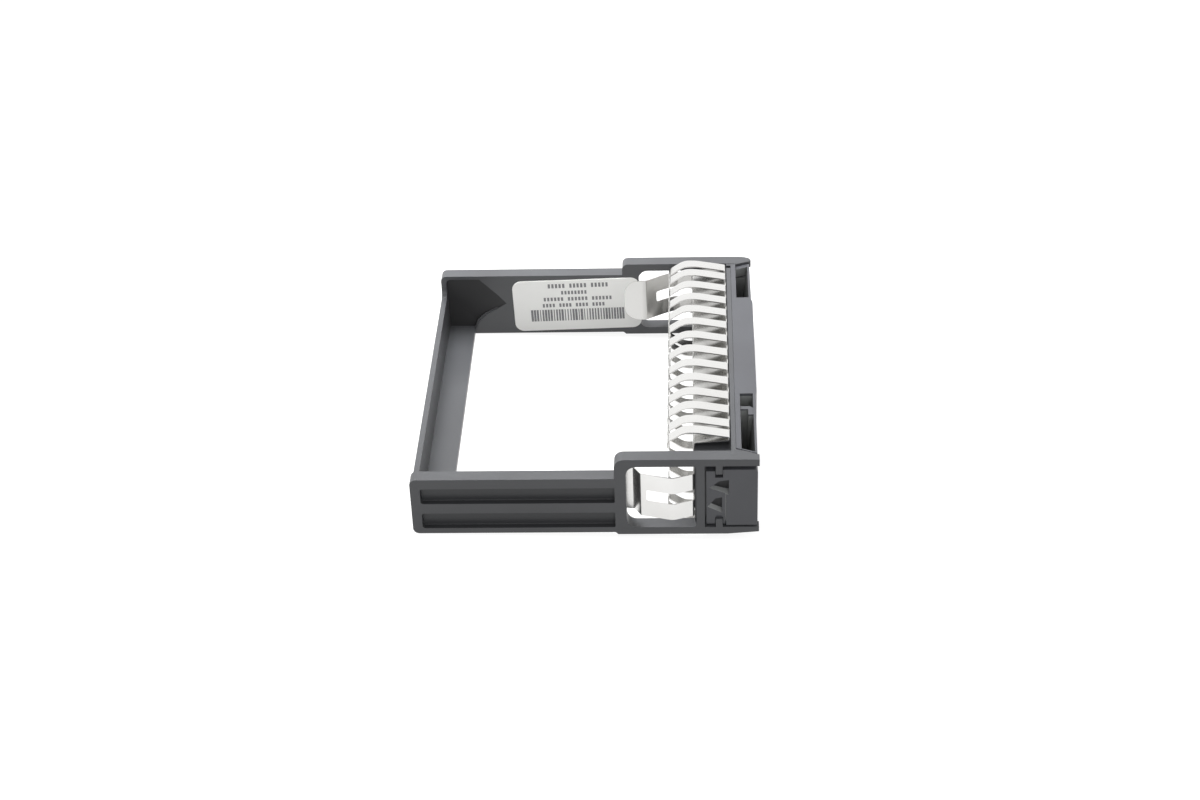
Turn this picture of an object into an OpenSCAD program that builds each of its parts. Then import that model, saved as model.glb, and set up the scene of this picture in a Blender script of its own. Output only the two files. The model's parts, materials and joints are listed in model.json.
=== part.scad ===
// Drive bay blank filler: a moulded three-sided frame with a clipped-on front bezel,
// a folded spring-metal shielding gasket round its front beam and a paper label.
// X runs from the rear crossbar to the front bezel, Y across the bay, Z up. Millimetres.

/* [Overall size] */
// Width over the two side rails
body_w = 74.5; // [66:0.5:90]
// Depth from the rear crossbar to the tips of the front arms
body_d = 66.8; // [64:0.2:80]
// Height of the tall front section
front_h = 17.6; // [16.8:0.1:20]
// Thickness of the side walls
wall_t = 2.9; // [2.6:0.1:3.4]

/* [Side rails] */
// Length of the low rails behind the tall front section
rail_l = 39.2; // [36:0.2:41]
// Height of the near rail's top above the front section's underside
near_rail_top = 13.2; // [12.5:0.1:14]
// Height of the far rail's top above the front section's underside
far_rail_top = 15; // [14.5:0.1:16]
// Height of the rails' underside above the front section's underside
rail_lift = 0.5; // [0.2:0.1:0.8]
// Radius of the rails' rear corners
rail_corner_r = 1.2; // [0.4:0.1:1.5]
// Radius of the front section's rear top corner
step_corner_r = 1.8; // [0.8:0.1:2.5]
// Rise of the front section's underside at its front end
toe_rise = 0.5; // [0.1:0.1:1]
// Length of the rising part of the underside
toe_l = 6; // [3:0.5:8]

/* [Rail channels] */
// Height of each guide channel
channel_h = 3.55; // [2.5:0.05:4]
// Depth of a guide channel at its lower edge
channel_depth = 1.3; // [0.8:0.1:1.3]
// Depth of a guide channel at its upper edge
channel_lip = 1.1; // [0.1:0.1:1.2]
// Distance from the rear end to the channels
channel_start = 1.9; // [1.2:0.1:4]
// Height of the lower channel's floor
lower_channel_z = 1.7; // [1.5:0.02:2.3]
// Height of the upper channel's floor
upper_channel_z = 7.5; // [6.6:0.1:8]
// Corner radius at the channels' rear ends
channel_r = 0.5; // [0.3:0.1:1.2]
// Run of the slope at the channels' rear ends
channel_run = 0.35; // [0.1:0.05:0.8]

/* [Rear crossbar] */
// Thickness of the upright rear wall
rear_wall_t = 1.1; // [1:0.1:2]
// Height of the rear wall's rim
rear_rim_z = 10.1; // [8:0.1:12]
// Radius where the rim runs up into the rails
rim_fillet = 1.6; // [0.5:0.1:2.5]
// Thickness of the crossbar's floor
floor_t = 1.2; // [1:0.1:2]
// Depth of the crossbar's floor from the rear face
floor_l = 6.7; // [5:0.1:10]
// Depth of the scoop in the rails' inner faces at the rear corner
scoop_depth = 1.1; // [0.6:0.1:1.2]
// Width of the ledge along the scoop's lower edge
scoop_ledge = 0.3; // [0.1:0.05:0.5]
// Distance from the rear face to the scoop's pointed tip
scoop_l = 13.8; // [11:0.2:18]
// Height of the scoop's pointed tip
scoop_tip_z = 8.2; // [7:0.2:9]

/* [Side windows] */
// Distance from the start of the front section to the near window
near_window_x = 2.2; // [1.5:0.1:3]
// Distance from the start of the front section to the far window
far_window_x = 3.5; // [1.5:0.1:3.6]
// Web of wall left between a window and the locking pocket
window_post = 1.6; // [1.2:0.1:2.4]
// Height of the windows
window_h = 14.3; // [12.5:0.1:14.8]
// Radius of the windows' rear corners
window_r = 2; // [0.6:0.1:3]

/* [Front beam] */
// Reach of the front arms past the beam's lips
arm_l = 4.4; // [3.6:0.1:6]
// Depth of the hollow beam between its rear wall and its front lips
beam_l = 7; // [6:0.1:8]
// Wall thickness of the beam
beam_wall = 1.6; // [1.2:0.1:2]
// Drop of the beam's top and bottom flanges from the section's faces
beam_drop = 1.75; // [1.5:0.05:2.5]
// Thickness of the upright lips along the beam's front edge
lip_t = 0.9; // [0.7:0.1:1.3]
// Width of the notch at the far end of the upper lip
lip_notch_w = 1.8; // [1:0.1:3]
// Depth of the notch in the upper lip
lip_notch_h = 1.6; // [0.5:0.1:1.7]

/* [Locking pockets] */
// Distance from the pocket's rear edge to the beam's front lips
pocket_l = 5.1; // [4.5:0.1:6]
// Height of the locking pockets in the side walls
pocket_h = 14.4; // [13.4:0.1:15]
// Depth of the locking pockets
pocket_depth = 1.9; // [1.5:0.1:2.1]
// Distance from the pocket's rear edge to the locking tabs
tab_x = 2.1; // [1.8:0.1:2.6]
// Length of the locking tabs
tab_l = 1.3; // [0.8:0.1:1.6]
// Height of the locking tabs
tab_h = 1.9; // [1.5:0.1:2.4]
// Thickness of the front arms where they meet the beam
arm_root_t = 3.6; // [3.5:0.1:4]
// Thickness of the front arms at their tips
arm_tip_t = 1.75; // [1.6:0.05:2.5]
// Length of the lead-in that takes off the far arm's outer tip
lead_in_l = 1.9; // [1:0.1:3]
// Width of the lead-in
lead_in_w = 1.2; // [0.6:0.1:1.3]

/* [Bezel] */
// Clearance between the bezel and the frame
bezel_gap = 0.1; // [0.05:0.05:0.25]
// Thickness of the bezel's rear strip
bezel_back_t = 1; // [0.8:0.1:1.4]
// Thickness of the bezel's front wall along the recesses' top edge
bezel_front_t = 0.4; // [0.35:0.05:0.6]
// Width of the recesses at their floor
groove_w = 1.5; // [1.2:0.1:1.8]
// Setback of the front wall at the recesses
recess_setback = 0.4; // [0.1:0.05:0.5]
// Length over which the front wall runs out to the recesses' setback
setback_run = 1.4; // [0.8:0.1:2]
// Distance from the near side to the near recess's inner end
near_recess_end = 22.1; // [20:0.1:26]
// Distance from the far side to the far recess's inner end
far_recess_end = 16.7; // [12:0.1:20]
// Height of the recesses' floor
recess_floor_z = 5; // [3:0.5:9]
// Distance from the near side to the rib that crosses the near recess
rib_y = 17.1; // [14:0.1:18]
// Thickness of that rib
rib_t = 1; // [0.8:0.1:1.4]
// Length of the gusset beside the rib
gusset_l = 1.8; // [1:0.1:2.5]
// Thickness of the gusset against the front wall
gusset_t = 1.2; // [0.5:0.1:1.5]
// Drop of the ledge beside the far arm
ledge_drop = 0.6; // [0.4:0.1:1]
// Width of the ledge beside the far arm
ledge_w = 1.3; // [0.8:0.1:2]
// Height of the side tongues
tongue_h = 13.1; // [12.4:0.1:13.2]
// Thickness of the side tongues
tongue_t = 1.6; // [1.2:0.1:1.7]
// Depth of the finger marks at their lower edges
mark_depth = 1.2; // [0.6:0.1:1.3]
// Depth of the finger marks at their upper edges
mark_lip = 0.1; // [0.05:0.05:0.5]
// Height of the flank that rises from a mark's lower edge to its deepest line
mark_flank = 0.6; // [0.3:0.1:1]
// Drop of the finger marks' points below their middle
mark_sag = 0.4; // [0:0.1:0.8]
// Length of the upper finger mark
upper_mark_l = 4.1; // [3:0.1:4.6]
// Height of the upper finger mark
upper_mark_h = 3.6; // [2.6:0.1:3.8]
// Length of the lower finger mark
lower_mark_l = 2.8; // [1.6:0.1:3]
// Height of the lower finger mark
lower_mark_h = 3.7; // [2.4:0.1:3.8]
// Distance between the finger marks' centre lines
mark_pitch = 4.4; // [4.3:0.1:5]
// Step down from the tongue's face to its lower rear part
tongue_step = 0.4; // [0.2:0.05:0.6]
// Run of the chamfer down that step
step_run = 0.8; // [0.3:0.1:1]

/* [Spring gasket] */
// Thickness of the spring sheet
sheet_t = 0.25; // [0.2:0.01:0.3]
// Clearance between the sheet and the beam
clip_gap = 0.05; // [0.03:0.01:0.1]
// How far the finger crests stand proud of the front section
finger_bulge = 1.5; // [0.8:0.1:2]
// Reach of the fingers behind the gasket's web
finger_reach = 4.95; // [4:0.05:6]
// Drop of the fingers from their crests to the front fold
finger_fall = 1.1; // [0.8:0.1:1.3]
// Height of the fold that joins fingers and flange
fold_h = 0.7; // [0.5:0.05:0.8]
// Rise of the flange from the web to the fold
flange_rise = 0.6; // [0.2:0.1:0.7]
// Depth of the fingers' down-turned ends under the section's faces
finger_dip = 2.2; // [1.8:0.1:3]
// Width of a finger
finger_w = 2.5; // [2:0.1:2.8]
// Pitch of the outermost fingers
edge_pitch = 3.5; // [3.2:0.05:3.8]
// Pitch of the fingers near the gasket's ends
end_pitch = 4.77; // [4.2:0.01:4.9]
// Pitch of the fingers in the middle
mid_pitch = 5.13; // [4.5:0.01:5.2]
// Number of narrow pitches at the far end
far_pitches = 4; // [2:1:4]
// Number of wide pitches in the middle
mid_pitches = 5; // [3:1:5]
// Number of narrow pitches at the near end
near_pitches = 2; // [1:1:2]
// Clearance between the gasket's far end and the far wall
gasket_far_gap = 1.1; // [0.6:0.1:1.6]
// Height of the side springs
side_spring_h = 9.8; // [8:0.1:10.4]
// Width of the slot that splits each side spring into two prongs
prong_slot = 2.5; // [1.5:0.1:3.5]
// How far the side springs' crests stand proud of the side walls
side_bulge = 0.8; // [0.4:0.1:1.4]
// Clearance between a side spring's inward fold and its window's rear edge
side_fold_gap = 0.2; // [0.1:0.05:0.8]
// Further shift of the far spring's inward fold from its window
far_fold_shift = 1.4; // [0:0.1:1.8]
// Run of the far spring's panel from its inward fold to the rail
far_fold_run = 3.4; // [1:0.1:4]
// Lap of the side springs' tails over the wall behind the windows
tail_lap = 2.4; // [1.5:0.1:3]
// Corner radius of the tail's rounded end
tail_r = 3.3; // [2:0.1:4.6]

/* [Label] */
// Length of the label
label_l = 27.6; // [20:0.1:28]
// Height of the label
label_h = 12.6; // [9:0.1:13]
// Thickness of the label
label_t = 0.15; // [0.1:0.05:0.25]
// Height of the label's rear end above the rail's underside, to its centre line
label_z = 6.8; // [6.6:0.1:7.2]
// Tilt of the label
label_tilt = 1.7; // [0:0.1:2]
// Radius of the label's corners
label_r = 2; // [0.5:0.1:3]

/* [Hidden] */

plastic = "#4b4d50";
trim_plastic = "#55575b";
spring_metal = "#e4e4e1";
paper = "#dcdcd8";

over = 1;           // overshoot of cutting bodies
arc_steps = 6;      // segments in a rounded corner
mid_z = front_h / 2;

beam_front = body_d - arm_l - lip_t;    // rear face of the beam's lips
beam_x = beam_front - beam_l;           // rear face of the beam
lip_x = beam_front + lip_t;             // front face of the lips
pocket_x = beam_front - pocket_l;
window_end = pocket_x - window_post;
window_z = (front_h - window_h) / 2;
pocket_z = (front_h - pocket_h) / 2;

bezel_x = lip_x + bezel_gap / 2;
tongue_z = (front_h - tongue_h) / 2 - 0.3;
tongue_face = 0.2;                      // the tongues sit just below the side faces

web_x = beam_x - clip_gap - sheet_t / 2;
fold_x = beam_front - clip_gap - sheet_t;
crest_z = front_h + finger_bulge - sheet_t / 2;
tip_x = web_x - finger_reach;
fold_z = crest_z - finger_fall;         // where the fingers reach the front fold
flange_end_z = fold_z - fold_h;
flange_z = flange_end_z - flange_rise;  // where the flange leaves the web
pitches = concat([edge_pitch], [for (i = [1:far_pitches]) end_pitch],
    [for (i = [1:mid_pitches]) mid_pitch], [for (i = [1:near_pitches]) end_pitch], [edge_pitch]);
clip_end = body_w - wall_t - gasket_far_gap;
clip_start = clip_end - finger_start(len(pitches)) - finger_w;
tail_y = wall_t + label_t + clip_gap + sheet_t / 2;
side_fold_x = rail_l + max(near_window_x, far_window_x) + side_fold_gap;
fold_run = (tail_y - 1) * 0.6;            // from the inward fold to its outer end
label_x = rail_l + far_window_x + 0.35 - label_l;
spring_z = mid_z - side_spring_h / 2;

// ---------- geometry helpers ----------

function unit(v) = v / norm(v);

// Arc that replaces a corner of an outline; the radius is limited by its two sides
function corner(before, at, after, r) =
    let(a = unit(before - at), b = unit(after - at), half = acos(a * b) / 2,
        room = min(norm(before - at), norm(after - at)) * 0.49,
        rr = min(r, room * tan(half)))
    rr <= 0.01 || half > 89.5 ? [at] :
    let(c = at + unit(a + b) * rr / sin(half), s = at + a * rr / tan(half) - c,
        e = at + b * rr / tan(half) - c, from = atan2(s.y, s.x),
        turn = (atan2(e.y, e.x) - from + 540) % 360 - 180)
    [for (i = [0:arc_steps]) c + rr * [cos(from + turn * i / arc_steps), sin(from + turn * i / arc_steps)]];

function flat2(p) = [p.x, p.y];

// Closed outline from [x, y, corner radius] points
function rounded(pts) = let(n = len(pts))
    [for (i = [0:n - 1])
        each corner(flat2(pts[(i + n - 1) % n]), flat2(pts[i]), flat2(pts[(i + 1) % n]), pts[i].z)];

// Open line from [x, y, bend radius] points
function bent(pts) = let(n = len(pts))
    [for (i = [0:n - 1])
        each (i == 0 || i == n - 1 ? [flat2(pts[i])]
            : corner(flat2(pts[i - 1]), flat2(pts[i]), flat2(pts[i + 1]), pts[i].z))];

// Offset of point i of a line to its left by d, mitred at the bends
function beside(line, i, d) =
    let(n = len(line), a = unit(line[min(i + 1, n - 1)] - line[min(i, n - 2)]),
        b = unit(line[max(i, 1)] - line[max(i - 1, 0)]), m = unit(a + b))
    line[i] + d / (m * a) * [-m.y, m.x];

// Outline of a sheet of thickness t that follows a line
function sheet(line, t) = let(n = len(line))
    concat([for (i = [0:n - 1]) beside(line, i, t / 2)],
           [for (i = [n - 1:-1:0]) beside(line, i, -t / 2)]);

function rect_pts(x0, y0, x1, y1, r_left, r_right) =
    rounded([[x0, y0, r_left], [x1, y0, r_right], [x1, y1, r_right], [x0, y1, r_left]]);

// Extrudes an X-Z outline from y0 to y1
module along_y(y0, y1) { translate([0, y1, 0]) rotate([90, 0, 0]) linear_extrude(y1 - y0) children(); }

// Extrudes a Y-Z outline from x0 to x1
module along_x(x0, x1) { translate([x0, 0, 0]) rotate([90, 0, 90]) linear_extrude(x1 - x0) children(); }

module far_side() { translate([0, body_w, 0]) mirror([0, 1, 0]) children(); }

// Moves the part so that it stands on z = 0 and is centred over the origin
module place() { translate([-body_d / 2, -body_w / 2, finger_bulge]) children(); }

// ---------- frame ----------

module side_outline(rail_top) {
    polygon(rounded([
        [0, rail_lift, rail_corner_r], [rail_l, rail_lift, 0], [rail_l + rail_lift, 0, 0],
        [body_d - toe_l, 0, 0], [body_d, toe_rise, 0.4],
        [body_d, front_h - 0.1, 0.7], [body_d - toe_l, front_h, 0],
        [rail_l, front_h, step_corner_r], [rail_l, rail_top, 0], [0, rail_top, rail_corner_r]]));
}

// Guide channel: leans in a little from its lip to its full depth, with a sloped rear end
module channel(floor_z) {
    intersection() {
        along_y(-over, channel_depth + over)
            polygon(rect_pts(channel_start, floor_z, rail_l, floor_z + channel_h, channel_r, 0.2));
        along_x(0, rail_l + over)
            polygon([[-over, floor_z], [channel_depth - 0.15, floor_z], [channel_depth, floor_z + 0.15],
                     [channel_lip, floor_z + channel_h], [-over, floor_z + channel_h]]);
        translate([0, 0, floor_z - over]) linear_extrude(channel_h + 2 * over)
            polygon([[channel_start, -2 * over], [channel_start, 0],
                [channel_start + channel_run, channel_depth + 2 * over],
                [rail_l + 2 * over, channel_depth + 2 * over], [rail_l + 2 * over, -2 * over]]);
    }
}

// Outline of the scoop in X and Z, with its lower edge moved out by grow
function scoop_outline(tip, upper, rail_top, grow) = rounded([
    [rear_wall_t, rail_lift + floor_t, 0], [floor_l + grow, rail_lift + floor_t, 0.5],
    [floor_l + 0.6 + grow, scoop_tip_z * 0.45 - grow * 0.8, 2],
    [scoop_l * 0.66 + grow * 0.5, scoop_tip_z * 0.66 - grow, 3],
    [tip.x + grow, tip.y, 0], [upper.x, upper.y - 0.8, 0], [rear_wall_t, rail_top - 0.8, 1]]);

// Scoop that thins the rail's inner face towards the rear corner, deepest low at the back
module corner_scoop(rail_top) {
    tip = [scoop_l, scoop_tip_z];
    upper = [scoop_l * 0.6, rail_top];
    across = unit(upper - tip);
    slope = atan(scoop_depth / (scoop_l * 0.6));
    intersection() {
        union() {
            along_y(wall_t - scoop_depth, wall_t + over) polygon(scoop_outline(tip, upper, rail_top, 0));
            along_y(wall_t - scoop_ledge, wall_t + over)
                polygon(scoop_outline(tip, upper, rail_top, scoop_ledge));
        }
        translate([tip.x, wall_t, tip.y]) rotate([0, -atan2(across.y, across.x), 0])
            rotate([slope, 0, 0])
            translate([-2 * scoop_l, 0, -2 * scoop_l]) cube([4 * scoop_l, 4, 4 * scoop_l]);
    }
}

module side_wall(rail_top, window_x) {
    difference() {
        along_y(0, wall_t) side_outline(rail_top);
        channel(lower_channel_z);
        channel(upper_channel_z);
        along_y(-over, wall_t + over)
            polygon(rect_pts(rail_l + window_x, window_z, window_end, window_z + window_h, window_r, 0.5));
        corner_scoop(rail_top);
    }
}

// Cut for the bezel's tongue, open towards the front, that leaves the locking tabs
module locking_pocket() {
    difference() {
        union() {
            translate([pocket_x, -over, pocket_z]) cube([body_d, pocket_depth + over, pocket_h]);
            translate([lip_x, -over, pocket_z]) cube([body_d, arm_root_t + 2 * over, pocket_h]);
        }
        for (z = [pocket_z - over, pocket_z + pocket_h - tab_h])
            translate([pocket_x + tab_x, -2 * over, z]) cube([tab_l, pocket_depth + 3 * over, tab_h + over]);
    }
}

// Tapering thickening of the side wall that meets the bezel's end
module arm_taper() {
    translate([0, 0, toe_rise]) linear_extrude(front_h - toe_rise - 0.1)
        polygon([
            [beam_front, 0], [body_d, 0], [body_d, arm_tip_t],
            [lip_x, arm_root_t], [beam_front, arm_root_t]
        ]);
}

module front_arm_trim() {
    translate([0, 0, -over]) linear_extrude(front_h + 2 * over)
        polygon([[lip_x, arm_root_t], [body_d, arm_tip_t], [body_d + over, arm_tip_t],
                 [body_d + over, arm_root_t + over], [lip_x, arm_root_t + over]]);
}

// Hollow beam, open towards the bezel, with an upright lip above and below
module front_beam() {
    top = front_h - beam_drop;
    difference() {
        along_y(wall_t / 2, body_w - wall_t / 2)
            polygon([[beam_x, beam_drop], [beam_front, beam_drop], [beam_front, 0], [lip_x, 0],
                [lip_x, beam_drop + beam_wall], [beam_x + beam_wall, beam_drop + beam_wall],
                [beam_x + beam_wall, top - beam_wall], [lip_x, top - beam_wall],
                [lip_x, front_h], [beam_front, front_h], [beam_front, top], [beam_x, top]]);
        translate([beam_front - over, body_w - wall_t - lip_notch_w, front_h - lip_notch_h])
            cube([lip_t + over, lip_notch_w, lip_notch_h + over]);
    }
}

module rear_crossbar() {
    along_x(0, rear_wall_t)
        polygon(rounded([[wall_t / 2, rail_lift, 0], [body_w - wall_t / 2, rail_lift, 0],
            [body_w - wall_t / 2, far_rail_top - rail_corner_r, 0],
            [body_w - wall_t, far_rail_top - rail_corner_r, 0],
            [body_w - wall_t, rear_rim_z, rim_fillet], [wall_t, rear_rim_z, rim_fillet],
            [wall_t, near_rail_top - rail_corner_r, 0], [wall_t / 2, near_rail_top - rail_corner_r, 0]]));
    translate([rear_wall_t / 2, wall_t - scoop_depth, rail_lift])
        cube([floor_l - rear_wall_t / 2, body_w - 2 * (wall_t - scoop_depth), floor_t]);
}

// Lead-in across the outer corner of the far arm's tip
module lead_in() {
    translate([0, 0, -over]) linear_extrude(front_h + 2 * over)
        polygon([[body_d - lead_in_l, body_w + over], [body_d - lead_in_l, body_w],
            [body_d - lead_in_l * 0.3, body_w - lead_in_w * 0.35], [body_d, body_w - lead_in_w],
            [body_d + over, body_w - lead_in_w], [body_d + over, body_w + over]]);
}

module bay_frame() {
    color(plastic) place() {
        difference() {
            union() {
                side_wall(near_rail_top, near_window_x);
                far_side() side_wall(far_rail_top, far_window_x);
                arm_taper();
                far_side() arm_taper();
                front_beam();
            }
            locking_pocket();
            far_side() locking_pocket();
            front_arm_trim();
            far_side() front_arm_trim();
            lead_in();
        }
        rear_crossbar();
    }
}

// ---------- bezel ----------

module tongue_outline() {
    x0 = pocket_x + 0.3;
    x1 = body_d - 0.3;
    top = tongue_z + tongue_h;
    notch_x0 = pocket_x + tab_x - bezel_gap;
    notch_x1 = pocket_x + tab_x + tab_l + bezel_gap;
    notch_lo = pocket_z + tab_h + bezel_gap;
    notch_hi = pocket_z + pocket_h - tab_h - bezel_gap - 0.8;
    polygon(rounded([[x0, tongue_z, 0], [notch_x0, tongue_z, 0], [notch_x0, notch_lo, 0],
        [notch_x1, notch_lo, 0], [notch_x1, tongue_z, 0], [x1, tongue_z, 0.3], [x1, top, 0.6],
        [notch_x1, top, 0], [notch_x1, notch_hi, 0], [notch_x0, notch_hi, 0], [notch_x0, top - 0.35, 0],
        [x0, top - 0.35, 0]]));
}

// Foot and tip of the mark's lower edge, in X and Z
function mark_foot(x, z, l, h) = [x + l, z - h / 2];
function mark_tip(x, z) = [x, z - mark_sag];

// Triangular finger mark cut from the given face: it points to the rear, with a flank along
// its lower edge that rises to its deepest line
module finger_mark(x, z, l, h, face) {
    foot = mark_foot(x, z, l, h);
    tip = mark_tip(x, z);
    hull() {
        along_y(-over, face + mark_lip)
            polygon([tip, foot, [x + l, z + h / 2], [x + l * 0.55, z + h * 0.42]]);
        along_y(tongue_face + mark_depth - over, tongue_face + mark_depth)
            polygon([
                [tip.x + mark_flank, tip.y + mark_flank / 2], [foot.x, foot.y + mark_flank],
                [foot.x, foot.y + mark_flank + 0.4],
                [tip.x + mark_flank + 0.6, tip.y + mark_flank / 2 + 0.1]
            ]);
    }
}

module side_tongue() {
    mark_x = pocket_x + 0.5;
    upper_z = mid_z + mark_pitch / 2 - 0.15;
    step_x = mark_x + lower_mark_l;
    low_face = tongue_face + tongue_step;
    foot = mark_foot(mark_x, upper_z, upper_mark_l, upper_mark_h);
    tip = mark_tip(mark_x, upper_z);
    step_top_z = tip.y + mark_lip / 2;
    edge_z = step_top_z + (foot.y - tip.y) * (step_x + step_run - tip.x) / (foot.x - tip.x);
    difference() {
        along_y(tongue_face, tongue_face + tongue_t) tongue_outline();
        finger_mark(mark_x, upper_z, upper_mark_l, upper_mark_h, tongue_face);
        finger_mark(mark_x, upper_z - mark_pitch, lower_mark_l, lower_mark_h, low_face);
        // lower step of the tongue, under the upper mark
        intersection() {
            along_y(-over, low_face)
                polygon([[pocket_x, tongue_z - over], [step_x + step_run, tongue_z - over],
                    [step_x + step_run, edge_z], [tip.x + mark_flank / 2, step_top_z],
                    [pocket_x, step_top_z]]);
            translate([0, 0, tongue_z - over]) linear_extrude(tongue_h)
                polygon([[pocket_x - over, -2 * over], [step_x + step_run, -2 * over],
                    [step_x + step_run, tongue_face], [step_x, low_face + over],
                    [pocket_x - over, low_face + over]]);
        }
    }
    translate([bezel_x, tongue_face + tongue_t / 2, tongue_z])
        cube([body_d - 0.6 - bezel_x, arm_root_t, tongue_h]);
}

// Plan of the bezel between the two front arms, drawn up to a given front plane
module bezel_plan(front, end_gap) {
    taper = (arm_root_t - arm_tip_t) / (body_d - lip_x);
    front_y = arm_root_t - taper * (front - lip_x) + end_gap;
    root_y = arm_root_t + end_gap;
    polygon([[bezel_x, root_y], [front, front_y], [front, body_w - front_y], [bezel_x, body_w - root_y]]);
}

// Recess whose front wall leans out towards its thin top edge
module recess(y0, y1, end_gap) {
    inner_x = bezel_x + bezel_back_t;
    outer_x = body_d - recess_setback - bezel_front_t;
    knee = [(inner_x + groove_w + outer_x) / 2 - 0.15, recess_floor_z + (front_h - recess_floor_z) * 0.6];
    intersection() {
        translate([0, 0, recess_floor_z]) linear_extrude(front_h) bezel_plan(body_d, end_gap);
        along_y(y0, y1)
            polygon([[inner_x, recess_floor_z], [inner_x + groove_w, recess_floor_z], knee,
                [outer_x, front_h - 0.2], [outer_x, front_h + over], [inner_x, front_h + over]]);
    }
}

// Cut that sets the front face back along a recess, from its inner end y0 towards the arm
module setback(y0, dir) {
    translate([0, 0, -over]) linear_extrude(front_h + 2 * over)
        polygon([[body_d, y0 + dir * setback_run], [body_d - recess_setback * 0.7, y0],
            [body_d - recess_setback, y0 - dir * near_recess_end],
            [body_d + over, y0 - dir * near_recess_end], [body_d + over, y0 + dir * setback_run]]);
}

module front_bezel() {
    near_end = near_recess_end;
    far_end = body_w - far_recess_end;
    wall_x = body_d - recess_setback - bezel_front_t / 2;
    color(trim_plastic) place() {
        difference() {
            translate([0, 0, 0.1]) linear_extrude(front_h - 0.1) bezel_plan(body_d, bezel_gap);
            recess(0, near_end, bezel_gap + 0.3);
            recess(far_end, body_w, ledge_w);
            // ledge beside the far arm
            intersection() {
                translate([0, 0, front_h - ledge_drop]) linear_extrude(front_h) difference() {
                    bezel_plan(body_d + over, -over);
                    bezel_plan(body_d + 2 * over, ledge_w);
                }
                translate([bezel_x + bezel_back_t, body_w / 2, 0]) cube([body_d, body_w, 2 * front_h]);
            }
            setback(near_end - 0.6, 1);
            setback(far_end - 0.6, -1);
            lead_in();
        }
        // rib and gusset across the near recess
        translate([0, 0, recess_floor_z - over]) linear_extrude(front_h - 0.3 - recess_floor_z + over)
            polygon([
                [bezel_x + bezel_back_t / 2, rib_y], [wall_x - gusset_t, rib_y],
                [wall_x - gusset_t, rib_y - gusset_l], [wall_x, rib_y - gusset_l],
                [wall_x, rib_y + rib_t * 0.2], [wall_x - rib_t * 0.8, rib_y + rib_t],
                [bezel_x + bezel_back_t / 2, rib_y + rib_t]
            ]);
        side_tongue();
        difference() {
            far_side() side_tongue();
            lead_in();
        }
    }
}

// ---------- gasket ----------

// Upper half of the folded section: [x, z, bend radius] from the finger's end to the web
function finger_half() = [
    [tip_x, front_h - finger_dip, 0],
    [tip_x, front_h - 0.75, 0.9],
    [tip_x + 3.1, crest_z, 4],
    [web_x + 0.6, crest_z, 12],
    [fold_x, fold_z, fold_h * 0.45],
    [fold_x, flange_end_z, fold_h * 0.45],
    [web_x, flange_z, 0.3]];

function below(half) = [for (i = [len(half) - 1:-1:0]) [half[i].x, front_h - half[i].y, half[i].z]];

// Distance from the gasket's far end to the start of finger i
function finger_start(i) = i <= 0 ? 0 : pitches[i - 1] + finger_start(i - 1);

// Opening between two fingers: from their ends over the crests and round the front fold
module finger_slot() {
    lo = front_h - finger_dip - over;
    polygon([[tip_x - over, lo], [web_x - over, lo], [web_x - over, flange_z + 0.3], [web_x, flange_z + 0.3],
        [fold_x, flange_end_z + 0.3], [fold_x + over, flange_end_z + 0.3],
        [fold_x + over, crest_z + over], [tip_x - over, crest_z + over]]);
}

module clip_and_fingers() {
    difference() {
        along_y(clip_start, clip_end)
            polygon(sheet(bent(concat(finger_half(), below(finger_half()))), sheet_t));
        for (i = [1:len(pitches)]) {
            y0 = clip_end - finger_start(i);
            y1 = clip_end - finger_start(i - 1) - finger_w;
            along_y(y0, y1) finger_slot();
            translate([0, 0, front_h]) mirror([0, 0, 1]) along_y(y0, y1) finger_slot();
        }
    }
}

// Side spring: leaves the web, bulges out through the window and rests inside the wall
module side_spring(web_end, window_x, fold_shift, run) {
    tail_x = rail_l + window_x - tail_lap;
    fold_in_x = side_fold_x + fold_shift;
    fold_out_x = fold_in_x + run;
    span = web_x - fold_in_x - fold_run;
    slot_x = fold_in_x + fold_run + 0.1 * span;
    path = [[web_x, web_end, 0], [web_x, 0.8, 0.5], [web_x - 0.4 * span, -side_bulge + sheet_t / 2, 2.4],
        [fold_out_x, 1, 0.5], [fold_in_x, tail_y, 0.5], [tail_x, tail_y, 0]];
    slot_z = mid_z - prong_slot / 2;
    difference() {
        intersection() {
            translate([0, 0, spring_z]) linear_extrude(side_spring_h) polygon(sheet(bent(path), sheet_t));
            along_y(-side_bulge - over, web_end + over)
                polygon(rect_pts(tail_x, spring_z, web_x + over, spring_z + side_spring_h, tail_r, 0));
        }
        along_y(-side_bulge - over, tail_y - sheet_t)
            polygon(rect_pts(slot_x, slot_z, web_x + over, slot_z + prong_slot, 0.3, 0));
    }
}

module spring_gasket() {
    color(spring_metal) place() {
        clip_and_fingers();
        side_spring(clip_start + over, near_window_x, 0, fold_run);
        far_side() side_spring(body_w - clip_end + over, near_window_x + 0.6, far_fold_shift, far_fold_run);
    }
}

// ---------- label ----------

module label() {
    color(paper) place()
        translate([label_x, 0, rail_lift + label_z]) rotate([0, -label_tilt, 0])
        along_y(body_w - wall_t - label_t, body_w - wall_t)
            polygon(rect_pts(0, -label_h / 2, label_l, label_h / 2, label_r, label_r));
}

bay_frame();
front_bezel();
spring_gasket();
label();
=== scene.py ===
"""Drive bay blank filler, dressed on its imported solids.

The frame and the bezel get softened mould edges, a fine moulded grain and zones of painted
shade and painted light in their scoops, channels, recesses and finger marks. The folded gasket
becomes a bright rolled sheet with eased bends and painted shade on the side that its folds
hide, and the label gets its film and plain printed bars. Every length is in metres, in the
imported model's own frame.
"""

from __future__ import annotations

import json
import logging
import math
from abc import ABC, abstractmethod
from dataclasses import dataclass, field
from enum import Enum, IntEnum
from functools import reduce
from typing import Union

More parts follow.
